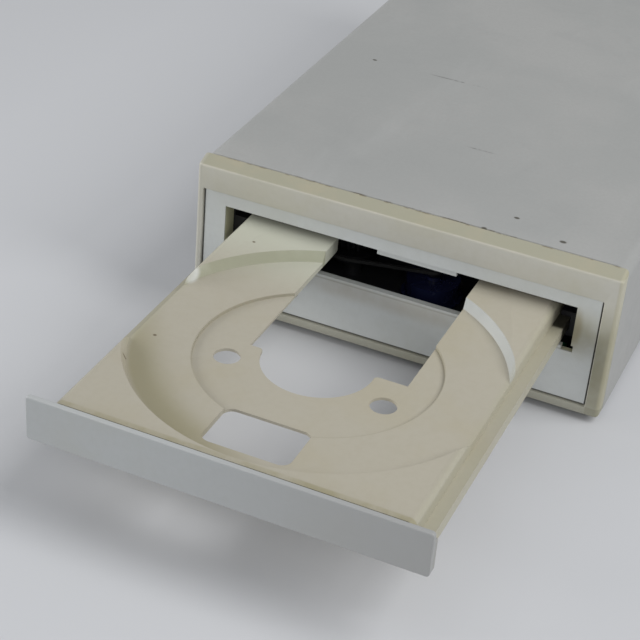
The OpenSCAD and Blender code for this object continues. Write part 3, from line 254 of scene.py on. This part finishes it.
class Finish:
    """A material built from nodes round one shader, read in object coordinates so that patterns keep
    their real size. Its tone is the colour so far, which wear is laid over."""

    def __init__(self, name, roughness, metallic=0.0):
        self.mat = bpy.data.materials.new(name)
        self.mat.use_nodes = True
        self.tree = self.mat.node_tree
        self.shader = self.tree.nodes["Principled BSDF"]
        self.shader.inputs["Roughness"].default_value = roughness
        self.shader.inputs["Metallic"].default_value = metallic
        self.coord = self.tree.nodes.new("ShaderNodeTexCoord").outputs["Object"]
        self.tone = None

    def node(self, kind, **settings):
        made = self.tree.nodes.new(kind)
        for key, value in settings.items():
            setattr(made, key, value)
        return made

    def link(self, a, b):
        self.tree.links.new(a, b)

    def stretch(self, scale, place_at=(0, 0, 0), turn=(0, 0, 0)):
        """Object coordinates moved so that place_at is the origin, turned, then scaled."""
        shift = self.node("ShaderNodeVectorMath", operation="SUBTRACT")
        self.link(self.coord, shift.inputs[0])
        shift.inputs[1].default_value = place_at
        m = self.node("ShaderNodeMapping")
        m.inputs["Rotation"].default_value = turn
        m.inputs["Scale"].default_value = scale
        self.link(shift.outputs[0], m.inputs["Vector"])
        return m.outputs["Vector"]

    def length(self, vector):
        made = self.node("ShaderNodeVectorMath", operation="LENGTH")
        self.link(vector, made.inputs[0])
        return made.outputs["Value"]

    def reach(self, vector, direction):
        """How far a vector reaches along a direction."""
        made = self.node("ShaderNodeVectorMath", operation="DOT_PRODUCT")
        self.link(vector, made.inputs[0])
        made.inputs[1].default_value = direction
        return made.outputs["Value"]

    def noise(self, scale, detail=3.0, rough=0.55, vector=None, distort=0.0):
        n = self.node("ShaderNodeTexNoise")
        n.inputs["Scale"].default_value = scale
        n.inputs["Detail"].default_value = detail
        n.inputs["Roughness"].default_value = rough
        n.inputs["Distortion"].default_value = distort
        self.link(vector or self.coord, n.inputs["Vector"])
        return n.outputs["Fac"]

    def window(self, value, low, high):
        """0 below low, 1 above high, smooth between; low above high turns it round."""
        m = self.node("ShaderNodeMapRange", interpolation_type="SMOOTHSTEP")
        m.inputs["From Min"].default_value = min(low, high)
        m.inputs["From Max"].default_value = max(low, high)
        m.inputs["To Min"].default_value = 1 if low > high else 0
        m.inputs["To Max"].default_value = 0 if low > high else 1
        self.link(value, m.inputs["Value"])
        return m.outputs["Result"]

    def math(self, operation, a, b=None):
        m = self.node("ShaderNodeMath", operation=operation)
        for socket, value in zip(m.inputs, (a, b)):
            if value is None:
                continue
            if isinstance(value, (int, float)):
                socket.default_value = value
            else:
                self.link(value, socket)
        return m.outputs[0]

    def product(self, *values):
        out = values[0]
        for v in values[1:]:
            out = self.math("MULTIPLY", out, v)
        return out

    def axis(self, which):
        s = self.node("ShaderNodeSeparateXYZ")
        self.link(self.coord, s.inputs[0])
        return s.outputs[which]

    def off_middle(self):
        """Distance to either side of the drive's middle."""
        return self.math("ABSOLUTE", self.math("SUBTRACT", self.axis("X"), DRIVE_X))

    def band(self, which, low, high, soft):
        """1 where the coordinate lies between low and high, with soft borders that wide."""
        v = self.axis(which)
        return self.product(self.window(v, low - soft / 2, low + soft / 2),
                            self.window(v, high + soft / 2, high - soft / 2))

    def ragged(self, mask, scale, low, high):
        """A mask broken up by noise."""
        return self.product(mask, self.window(self.noise(scale, 4, 0.65), low, high))

    def spot(self, centre, reach, edge=0.5, turn=(0, 0, 0)):
        """1 inside an ellipsoid about centre with half-sizes reach, falling to 0 outside it over the
        edge share."""
        scaled = self.stretch([1 / r for r in reach], centre, turn)
        return self.window(self.length(scaled), 1 + edge / 2, 1 - edge / 2)

    def mix(self, fac, a, b):
        m = self.node("ShaderNodeMix", data_type="RGBA")
        self.link(fac, m.inputs[0])
        for socket, value in ((m.inputs[6], a), (m.inputs[7], b)):
            if isinstance(value, tuple):
                socket.default_value = (*value, 1.0)
            else:
                self.link(value, socket)
        return m.outputs[2]

    def wear(self, mask, colour, amount=None):
        """Lays a colour over the tone where the mask is 1, at most by amount."""
        fac = mask if amount is None else self.product(mask, amount)
        self.tone = self.mix(fac, self.tone, colour)

    def colour(self):
        self.link(self.tone, self.shader.inputs["Base Color"])
        return self

    def roughness(self, value, low, high):
        m = self.node("ShaderNodeMapRange")
        m.inputs["To Min"].default_value = low
        m.inputs["To Max"].default_value = high
        self.link(value, m.inputs["Value"])
        self.link(m.outputs["Result"], self.shader.inputs["Roughness"])
        return self

    def bump(self, height, strength, distance):
        b = self.node("ShaderNodeBump")
        b.inputs["Strength"].default_value = strength
        b.inputs["Distance"].default_value = distance
        self.link(height, b.inputs["Height"])
        self.link(b.outputs["Normal"], self.shader.inputs["Normal"])
        return self

    def on(self, piece):
        if not piece.data.materials:
            piece.data.materials.append(self.mat)
        for i in range(len(piece.data.materials)):
            piece.data.materials[i] = self.mat
        return self


def moulded(name, base, aged, roughness=0.5):
    """Aged moulded plastic: slow drift to a yellower tone, faint mottling and a fine spark texture."""
    f = Finish(name, roughness)
    drift = f.window(f.noise(26, 4, 0.6), 0.45, 0.7)
    mottle = f.window(f.noise(420, 3, 0.6), 0.35, 0.75)
    f.tone = f.mix(drift, base, aged)
    f.wear(mottle, tuple(c * 0.9 for c in aged), 0.22)
    f.roughness(f.noise(300, 2), roughness - 0.06, roughness + 0.08)
    f.bump(f.noise(1500, 2, 0.6), 0.12, 0.00012)
    return f.colour()


def dark_moulded(name, base, roughness=0.45):
    """Dark moulded plastic with a fine grain and faint paler scuffs."""
    f = Finish(name, roughness)
    scuff = f.window(f.noise(160, 5, 0.7), 0.62, 0.8)
    scuffed = tuple(min(1, c * 1.8 + 0.02) for c in base)
    f.tone = f.mix(f.product(scuff, 0.35), base, scuffed)
    f.roughness(f.noise(240, 3), roughness - 0.08, roughness + 0.14)
    f.bump(f.noise(1800, 2), 0.1, 0.0001)
    return f.colour()


def brushed(name, base, along, roughness=0.32):
    """Rolled or brushed metal: streaks drawn out along one axis, with duller patches."""
    f = Finish(name, roughness, 1.0)
    scale = [900.0, 900.0, 900.0]
    scale[along] = 22.0
    streak = f.noise(1.0, 3, 0.6, f.stretch(scale))
    dull = f.noise(45, 4, 0.6)
    f.tone = f.mix(dull, tuple(c * 0.82 for c in base), base)
    uneven = f.math("ADD", f.product(streak, 0.6), f.product(dull, 0.4))
    f.roughness(uneven, roughness - 0.1, roughness + 0.2)
    f.bump(streak, 0.08, 0.00008)
    return f.colour()


def board(name, base, trace):
    """Circuit board: solder resist with straight copper runs showing a shade lighter."""
    f = Finish(name, 0.4)
    runs = f.node("ShaderNodeTexBrick")
    runs.inputs["Scale"].default_value = 160
    runs.inputs["Mortar Size"].default_value = 0.035
    f.link(f.coord, runs.inputs["Vector"])
    f.tone = f.mix(runs.outputs["Fac"], base, trace)
    f.bump(runs.outputs["Fac"], 0.2, 0.0001)
    return f.colour()


def coated_lens():
    """Lens with a coating that wanders from blue to violet."""
    f = Finish("lens", 0.05)
    f.tone = f.mix(f.window(f.noise(900), 0.4, 0.6), (0.06, 0.1, 0.3), (0.12, 0.08, 0.3))
    return f.colour()


def painted_cover():
    """Textured grey paint with a few specks and scratches and paint lost along the front edge."""
    cool_grey, warm_grey = (0.335, 0.34, 0.33), (0.367, 0.367, 0.355)
    blotch_grey, pit_grey, rubbed_grey = (0.30, 0.305, 0.30), (0.31, 0.31, 0.30), (0.43, 0.435, 0.43)
    dirt, scored, bare = (0.09, 0.085, 0.07), (0.2, 0.2, 0.19), (0.14, 0.12, 0.09)
    mark_deep, top = 2 * MM, CASE_TOP / MM

    f = Finish("cover_paint", 0.5)
    f.tone = f.mix(f.window(f.noise(14, 5, 0.6), 0.38, 0.68), cool_grey, warm_grey)
    f.wear(f.window(f.noise(38, 5, 0.7, distort=0.6), 0.5, 0.72), blotch_grey, 0.3)
    f.wear(f.window(f.noise(700, 3, 0.7), 0.3, 0.75), pit_grey, 0.35)
    drawn_out = f.stretch((30, 8, 30), turn=(0, 0, 0.5))
    f.wear(f.window(f.noise(1, 4, 0.6, drawn_out), 0.55, 0.75), rubbed_grey, 0.3)
    for (x, y), size in SPECKS:
        f.wear(f.spot(drive(x, y, top), (size, size * 0.7, mark_deep), 0.6), dirt)
    for (x, y), length, turn in SCRATCHES:
        mark = f.spot(drive(x, y, top), (length, 0.45 * MM, mark_deep), 0.9, (0, 0, -turn))
        f.wear(f.ragged(mark, 300, 0.4, 0.6), scored)
    edge = f.product(f.band("Y", COVER_FRONT - 1 * MM, COVER_FRONT + 0.25 * MM, 0.4 * MM),
                     f.band("X", -45 * MM, 60 * MM, 25 * MM))
    f.wear(f.ragged(edge, 120, 0.47, 0.62), bare)
    f.roughness(f.noise(220, 3), 0.42, 0.62)
    f.bump(f.noise(1600, 2), 0.15, 0.0001)
    return f.colour()


def aged_bezel():
    """Cream plastic, paler on the face, yellowed on the sloped top and brown on the right bar, with a
    painted highlight along the top front edge and painted shade on the left side and the low bar.
    """
    cream, aged_cream = (0.52, 0.51, 0.455), (0.50, 0.485, 0.405)
    top_tan, top_patch, edge_highlight = (0.33, 0.318, 0.235), (0.40, 0.36, 0.26), (0.56, 0.53, 0.45)
    bar_brown, side_tan, left_side_shade = (0.235, 0.22, 0.13), (0.40, 0.375, 0.26), (0.41, 0.40, 0.34)
    low_bar_shade, seam_brown = (0.24, 0.235, 0.17), (0.16, 0.13, 0.08)

    f = moulded("bezel_plastic", cream, aged_cream)
    slope = f.window(f.axis("Z"), CASE_TOP - 2.4 * MM, CASE_TOP - 1.9 * MM)
    f.wear(slope, top_tan, 0.9)
    f.wear(f.ragged(slope, 70, 0.45, 0.75), top_patch, 0.6)
    # Painted highlight along the rounded edge between the sloped top and the face.
    edge = f.product(f.band("Z", CASE_TOP - 2.8 * MM, CASE_TOP - 2.05 * MM, 0.3 * MM),
                     f.band("Y", -1, BEZEL_FRONT + 0.7 * MM, 0.3 * MM))
    f.wear(f.ragged(edge, 60, 0.2, 0.7), edge_highlight, 0.6)
    right_bar = f.product(f.band("X", CASE_HALF - 5 * MM, 90 * MM, 0.6 * MM),
                          f.band("Z", 4 * MM, 40 * MM, 18 * MM))
    f.wear(f.ragged(right_bar, 25, 0.2, 0.6), bar_brown, 0.85)
    f.wear(f.window(f.axis("X"), CASE_HALF - 1.6 * MM, CASE_HALF - 0.8 * MM), side_tan, 0.6)
    # Painted shade on the bezel's left side.
    f.wear(f.window(f.axis("X"), 2.2 * MM - CASE_HALF, 1.2 * MM - CASE_HALF), left_side_shade, 0.6)
    # Painted shade on the low bar under the panel.
    f.wear(f.band("Z", -1, PANEL_LOW - 0.2 * MM, 0.4 * MM), low_bar_shade, 0.55)
    seam = f.product(f.window(f.axis("Y"), BEZEL_BACK - 0.9 * MM, BEZEL_BACK - 0.3 * MM), slope)
    f.wear(f.ragged(seam, 150, 0.5, 0.62), seam_brown, 0.8)
    return f.colour()


def worn_panel():
    """Off-white plastic with dust under the slot, a brown patch right of it, painted light on the slot's
    end walls and painted shade in the gap round its border.
    """
    white, aged_white = (0.555, 0.575, 0.565), (0.53, 0.545, 0.52)
    wall_painted_light, dust_brown, line_brown = (0.62, 0.60, 0.40), (0.36, 0.315, 0.235), (0.22, 0.2, 0.14)
    patch_brown, strip_brown, gap_shade = (0.30, 0.275, 0.175), (0.26, 0.22, 0.12), (0.03, 0.03, 0.025)

    f = moulded("panel_plastic", white, aged_white)
    off_middle = f.off_middle()
    slot_end = f.window(off_middle, SLOT_HALF - 4.2 * MM, SLOT_HALF - 2.2 * MM)
    behind_face = f.window(f.axis("Y"), PANEL_Y + 0.35 * MM, PANEL_Y + 0.7 * MM)
    # Painted light: the slot's end walls are made lighter and olive so they look lit inside the dark slot.
    f.wear(f.product(behind_face, slot_end), wall_painted_light, 0.85)
    under = f.window(off_middle, SLOT_HALF, SLOT_HALF - 4 * MM)
    dust = f.product(f.band("Z", 20 * MM, SLOT_LOW - 0.2 * MM, 5 * MM),
                     f.band("X", -60 * MM, 30 * MM, 30 * MM))
    f.wear(f.product(f.ragged(dust, 45, 0.15, 0.7), under), dust_brown, 0.5)
    line = f.product(f.band("Z", SLOT_LOW - 1.5 * MM, SLOT_LOW - 0.9 * MM, 0.4 * MM), under)
    f.wear(line, line_brown, 0.4)
    patch = f.spot(drive(69, 0, 33), (7.5 * MM, 4 * MM, 7.5 * MM), 1.5)
    f.wear(f.ragged(patch, 40, 0.1, 0.5), patch_brown, 0.7)
    strip = f.spot(drive(66.6, 0, 35), (2.2 * MM, 4 * MM, 7 * MM), 1.0)
    f.wear(strip, strip_brown, 0.6)
    # Painted shade: the border by the gap round the panel is made nearly black.
    border = f.math("MAXIMUM", f.window(off_middle, PANEL_HALF - 0.35 * MM, PANEL_HALF - 0.15 * MM),
                    f.window(f.axis("Z"), PANEL_LOW + 0.35 * MM, PANEL_LOW + 0.15 * MM))
    f.wear(border, gap_shade, 0.9)
    return f.colour()


def worn_tray():
    """Ivory plastic with painted shade in the recess's front left, on its rear left wall, along the sides,
    behind the door's lip and on the rails inside the slot, painted highlights on the recess's right wall
    and the left wall's end, painted light on the left arm, and darker along the small recess's step."""
    ivory, aged_ivory = (0.425, 0.395, 0.32), (0.415, 0.38, 0.29)
    shade_brown, arm_light, wall_highlight = (0.285, 0.255, 0.145), (0.51, 0.52, 0.435), (0.44, 0.455, 0.44)
    wall_painted_light, end_highlight, small_brown = (0.33, 0.335, 0.235), (0.66, 0.67, 0.65), (0.25, 0.23, 0.15)
    side_shade, lip_shadow_tone = (0.40, 0.39, 0.28), (0.27, 0.24, 0.12)
    slot_shadow_black, speck_brown = (0.02, 0.018, 0.012), (0.13, 0.1, 0.06)
    to_front_left = (-0.68, -0.73, 0)

    f = moulded("tray_plastic", ivory, aged_ivory, 0.4)
    from_disc = f.stretch((1, 1, 0), drive(*DISC_AT))
    r = f.length(from_disc)
    wall = f.product(f.window(r, RECESS_R - 0.5 * MM, RECESS_R + 0.2 * MM),
                     f.window(r, RIM_R + 0.4 * MM, RIM_R - 0.1 * MM))
    rear = f.window(f.axis("Y"), PANEL_Y - 50 * MM, PANEL_Y - 44 * MM)
    # Painted shade in the front left of the recess, near its rim.
    shade = f.product(f.window(r, 43 * MM, 57 * MM), f.window(r, RIM_R - 0.4 * MM, RIM_R - 3.5 * MM),
                      f.window(f.reach(from_disc, to_front_left), 34 * MM, 56 * MM))
    f.wear(shade, shade_brown, 0.72)
    # Painted light on the tray's left arm near the panel.
    left_arm_lit = f.product(f.window(f.axis("Y"), PANEL_Y - 40 * MM, PANEL_Y - 4 * MM),
                         f.window(f.axis("X"), 0, -10 * MM))
    f.wear(left_arm_lit, arm_light, 0.85)
    # Painted highlight on the recess's right rear wall.
    right = f.product(f.window(f.axis("X"), 8 * MM, 20 * MM), rear,
                      f.window(f.axis("Z"), RECESS_Z - 0.2 * MM, RECESS_Z + 0.3 * MM))
    f.wear(f.product(wall, right), wall_highlight, 0.9)
    # Painted shade on the recess's rear left wall.
    f.wear(f.product(wall, f.window(f.axis("X"), 0, -8 * MM), rear), wall_painted_light, 0.8)
    # Painted highlight on the end of the left wall, where it meets the tray's side.
    f.wear(f.spot(drive(-58.2, -41.5, 38.8), (2.2 * MM, 3.6 * MM, 3 * MM), 0.8), end_highlight, 0.85)
    small_step = f.product(f.window(r, SMALL_R - 0.35 * MM, SMALL_R - 0.15 * MM),
                           f.window(r, SMALL_R + 0.35 * MM, SMALL_R + 0.15 * MM))
    f.wear(small_step, small_brown, 0.3)
    off_middle = f.off_middle()
    # Painted shade, broken by noise, along the tray's rounded sides.
    side = f.window(off_middle, TRAY_HALF - 2.5 * MM, TRAY_HALF + 0.1 * MM)
    f.wear(f.ragged(side, 60, 0.1, 0.6), side_shade, 0.4)
    # Painted shade on the rim just behind the door's lip.
    lip_shadow = f.band("Y", PANEL_Y - 132 * MM, PANEL_Y - 128 * MM, 0.8 * MM)
    f.wear(f.ragged(lip_shadow, 90, 0.2, 0.7), lip_shadow_tone, 0.6)
    # Painted shade: the rails are made nearly black where they pass into the slot.
    in_slot = f.window(f.axis("Y"), PANEL_Y - 1.2 * MM, PANEL_Y + 0.4 * MM)
    rail = f.window(off_middle, TRAY_HALF - 0.1 * MM, TRAY_HALF + 0.3 * MM)
    f.wear(f.product(rail, in_slot), slot_shadow_black, 0.93)
    for x, y in TRAY_SPECKS:
        f.wear(f.spot(drive(x, y, 38), (0.6 * MM, 0.5 * MM, 6 * MM), 1.0), speck_brown)
    return f.colour()


def worn_door():
    """Grey textured plastic, with painted shade behind its upper lip, a painted highlight along the lip and
    painted shade making it darker to the right.
    """
    grey, aged_grey = (0.41, 0.425, 0.425), (0.40, 0.41, 0.395)
    rebate_shade, lip_highlight, right_shade = (0.27, 0.25, 0.15), (0.45, 0.46, 0.46), (0.315, 0.315, 0.31)

    f = moulded("door_plastic", grey, aged_grey)
    # Painted shade behind the upper lip.
    f.wear(f.window(f.axis("Y"), LIP_BACK, LIP_BACK + 0.5 * MM), rebate_shade, 0.6)
    # Painted highlight along the top of the lip.
    lip = f.product(f.window(f.axis("Z"), DOOR_TOP - 0.5 * MM, DOOR_TOP - 0.1 * MM),
                    f.band("Y", -1, LIP_BACK, 0.2 * MM))
    f.wear(lip, lip_highlight, 0.5)
    # Painted shade, darker to the right.
    f.wear(f.window(f.axis("X"), -40 * MM, 70 * MM), right_shade, 0.8)
    return f.colour()


# Pieces that show from outside

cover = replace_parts(mesh_object("cover", *cover_shell(), "case"), "top_cover")
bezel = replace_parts(mesh_object("bezel", *bezel_frame(), "case"), "front_bezel")
panel = softened("front_panel", 0.35 * MM)
tray = softened("tray", 0.4 * MM)
door = softened("tray_door", 0.5 * MM)

# Finishes by the record's slots, for these pieces and for every node
X_AXIS, Y_AXIS, Z_AXIS = 0, 1, 2
finishes = {
    "cover_grey": painted_cover().on(cover),
    "bezel_cream": aged_bezel().on(bezel),
    "panel_light": worn_panel().on(panel),
    "tray_cream": worn_tray().on(tray),
    "door_grey": worn_door().on(door),
    "pan_grey": moulded("pan_paint", (0.33, 0.33, 0.32), (0.29, 0.29, 0.27)),
    "rubber_black": dark_moulded("rubber", (0.025, 0.025, 0.025), 0.75),
    "bright_steel": brushed("bright_steel", (0.62, 0.62, 0.63), Y_AXIS),
    "plated_steel": brushed("plated_steel", (0.55, 0.56, 0.57), X_AXIS, 0.4),
    "black_plastic": dark_moulded("black_plastic", (0.018, 0.018, 0.02)),
    "gear_dark": dark_moulded("dark_acetal", (0.006, 0.006, 0.008), 0.4),
    "motor_dark": dark_moulded("motor_paint", (0.012, 0.015, 0.05), 0.22),
    "gear_white": moulded("gear_acetal", (0.62, 0.62, 0.58), (0.58, 0.57, 0.5), 0.35),
    "cast_grey": dark_moulded("cast_metal", (0.2, 0.2, 0.21), 0.5),
    "lens_glass": coated_lens(),
    "board_green": board("green_board", (0.012, 0.09, 0.04), (0.03, 0.16, 0.07)),
    "ribbon_grey": moulded("ribbon", (0.3, 0.3, 0.32), (0.26, 0.26, 0.28)),
    "light_green": moulded("light_pipe", (0.1, 0.3, 0.1), (0.08, 0.26, 0.08), 0.25),
    "jack_white": moulded("jack_white", (0.6, 0.6, 0.57), (0.55, 0.54, 0.48), 0.35),
    "jack_red": moulded("jack_red", (0.33, 0.02, 0.015), (0.28, 0.02, 0.012), 0.35),
    "brass": brushed("pin_brass", (0.6, 0.5, 0.27), Y_AXIS, 0.3),
    "board_brown": board("brown_board", (0.16, 0.09, 0.03), (0.24, 0.15, 0.06)),
    "sleeve_blue": dark_moulded("sleeve", (0.01, 0.015, 0.07), 0.35),
    "heat_aluminium": brushed("aluminium", (0.6, 0.6, 0.61), Z_AXIS, 0.38),
}
slot_of = {row["node"]: row["material_slot"] for row in frame["record"]["subparts"]}
for name, node in frame["nodes"].items():
    finishes[slot_of[name]].on(node)

# Floor, light and camera

FLOOR_HALF = 9
FLOOR_CORNERS = [(x * FLOOR_HALF, y * FLOOR_HALF, 0) for x, y in ((-1, -1), (1, -1), (1, 1), (-1, 1))]
floor_mesh = bpy.data.meshes.new("floor")
floor_mesh.from_pydata(FLOOR_CORNERS, [], [(0, 1, 2, 3)])
floor = bpy.data.objects.new("floor", floor_mesh)
bpy.context.scene.collection.objects.link(floor)
paper = Finish("floor_paper", 0.65)
paper.tone = paper.mix(paper.noise(3, 2), (0.575, 0.583, 0.602), (0.59, 0.595, 0.612))
# Painted shade: the floor darkens towards the back, standing in for light falling off away from the lamps.
paper.wear(paper.window(paper.axis("Y"), -0.3, 0.7), (0.50, 0.505, 0.515))
paper.colour().on(floor)

world = bpy.data.worlds.new("studio")
bpy.context.scene.world = world
world.use_nodes = True
sky = world.node_tree.nodes["Background"].inputs
sky["Color"].default_value = (0.93, 0.96, 1.0, 1)
sky["Strength"].default_value = 0.37

LIT_POINT = Vector((0, -0.1, 0.03))
# Name, azimuth, elevation, distance, size and power of each soft box
SOFT_BOXES = [
    ("right_high", 105, 58, 1.65, 0.6, 7.7),
    ("right_side", 90, 36, 1.65, 0.6, 9.1),
    ("front_right", 25, 36, 1.65, 0.6, 2.6),
    ("low_left", -90, 14, 3.3, 1.2, 41.5),
    ("low_front", -45, 14, 3.3, 1.2, 34),
]


def outward(azimuth, elevation):
    """Unit vector away from the drive: azimuth 0 in front of it and 90 at its right, in degrees."""
    turn, rise = math.radians(azimuth), math.radians(elevation)
    return Vector((math.sin(turn) * math.cos(rise), -math.cos(turn) * math.cos(rise), math.sin(rise)))


def soft_light(name, azimuth, elevation, distance, size, power):
    """A square soft box that faces the drive."""
    away = outward(azimuth, elevation)
    data = bpy.data.lights.new(name, "AREA")
    data.shape, data.size, data.energy = "SQUARE", size, power
    lamp = bpy.data.objects.new(name, data)
    lamp.location = LIT_POINT + away * distance
    lamp.rotation_euler = (-away).to_track_quat("-Z", "Y").to_euler()
    bpy.context.scene.collection.objects.link(lamp)


for box in SOFT_BOXES:
    soft_light(*box)

CAMERA_AT = Vector((0.16432, -0.56209, 0.34749))
CAMERA_ROLL = math.radians(5.084)
CAMERA_LENS, SENSOR_WIDTH = 97.142, 36
back = outward(21.28, 32.773)
level = Vector((0, 0, 1)).cross(back).normalized()
right = level * math.cos(CAMERA_ROLL) + back.cross(level) * math.sin(CAMERA_ROLL)
turned = Matrix((right, back.cross(right), back)).transposed().to_4x4()
camera_data = bpy.data.cameras.new("camera")
camera_data.lens, camera_data.sensor_width = CAMERA_LENS, SENSOR_WIDTH
camera = bpy.data.objects.new("camera", camera_data)
camera.matrix_world = Matrix.Translation(CAMERA_AT) @ turned
bpy.context.scene.collection.objects.link(camera)
bpy.context.scene.camera = camera
bpy.context.scene.view_settings.view_transform = "Standard"
